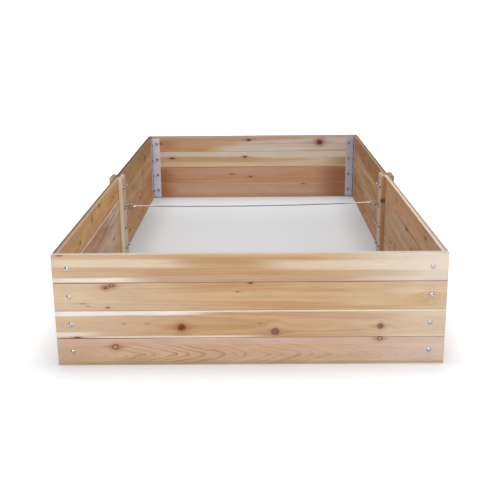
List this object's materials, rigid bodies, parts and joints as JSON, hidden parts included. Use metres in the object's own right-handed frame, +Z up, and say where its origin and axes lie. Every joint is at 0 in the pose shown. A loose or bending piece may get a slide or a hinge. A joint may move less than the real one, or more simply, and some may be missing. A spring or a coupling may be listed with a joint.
{
  "type": "raised garden bed",
  "caption": "Long rectangular bottomless raised bed of stacked cedar boards, bolted to galvanised corner angles, with spliced sides and a steel cross tie.",
  "frame": {"origin": "centre of the footprint, on the ground", "axes": "+Z up; +Y along the bed, away from the front end board; +X to the right, seen from the front end board"},
  "size_m": [1.28, 2.4452, 0.37],
  "materials": {
    "cedar": "untreated, smooth sawn",
    "cedar_batten": "untreated, smooth sawn",
    "galvanised_steel": "galvanised, satin",
    "bolt_head_zinc": "bright zinc plate",
    "zinc": "zinc plate, satin",
    "tie_rod_steel": "zinc plate, satin"
  },
  "bodies": {
    "root": {"front_board_1": "cedar", "back_board_1": "cedar", "left_front_board_1": "cedar", "left_rear_board_1": "cedar", "right_front_board_1": "cedar", "right_rear_board_1": "cedar", "front_board_2": "cedar", "back_board_2": "cedar", "left_front_board_2": "cedar", "left_rear_board_2": "cedar", "right_front_board_2": "cedar", "right_rear_board_2": "cedar", "front_board_3": "cedar", "back_board_3": "cedar", "left_front_board_3": "cedar", "left_rear_board_3": "cedar", "right_front_board_3": "cedar", "right_rear_board_3": "cedar", "front_board_4": "cedar", "back_board_4": "cedar", "left_front_board_4": "cedar", "left_rear_board_4": "cedar", "right_front_board_4": "cedar", "right_rear_board_4": "cedar", "left_outer_batten": "cedar_batten", "left_inner_batten": "cedar_batten", "right_outer_batten": "cedar_batten", "right_inner_batten": "cedar_batten", "front_left_corner_bracket": "galvanised_steel", "front_right_corner_bracket": "galvanised_steel", "back_right_corner_bracket": "galvanised_steel", "back_left_corner_bracket": "galvanised_steel", "front_left_corner_bolts": "bolt_head_zinc", "front_left_corner_washers": "zinc", "front_left_corner_nuts": "zinc", "front_right_corner_bolts": "bolt_head_zinc", "front_right_corner_washers": "zinc", "front_right_corner_nuts": "zinc", "back_right_corner_bolts": "bolt_head_zinc", "back_right_corner_washers": "zinc", "back_right_corner_nuts": "zinc", "back_left_corner_bolts": "bolt_head_zinc", "back_left_corner_washers": "zinc", "back_left_corner_nuts": "zinc", "left_splice_bolts": "bolt_head_zinc", "left_splice_washers": "zinc", "left_splice_nuts": "zinc", "right_splice_bolts": "bolt_head_zinc", "right_splice_washers": "zinc", "right_splice_nuts": "zinc", "left_eye_bolt": "zinc", "left_eye_bolt_washers": "zinc", "left_eye_bolt_nuts": "zinc", "right_eye_bolt": "zinc", "right_eye_bolt_washers": "zinc", "right_eye_bolt_nuts": "zinc", "tie_rod": "tie_rod_steel"}
  },
  "joints": []
}
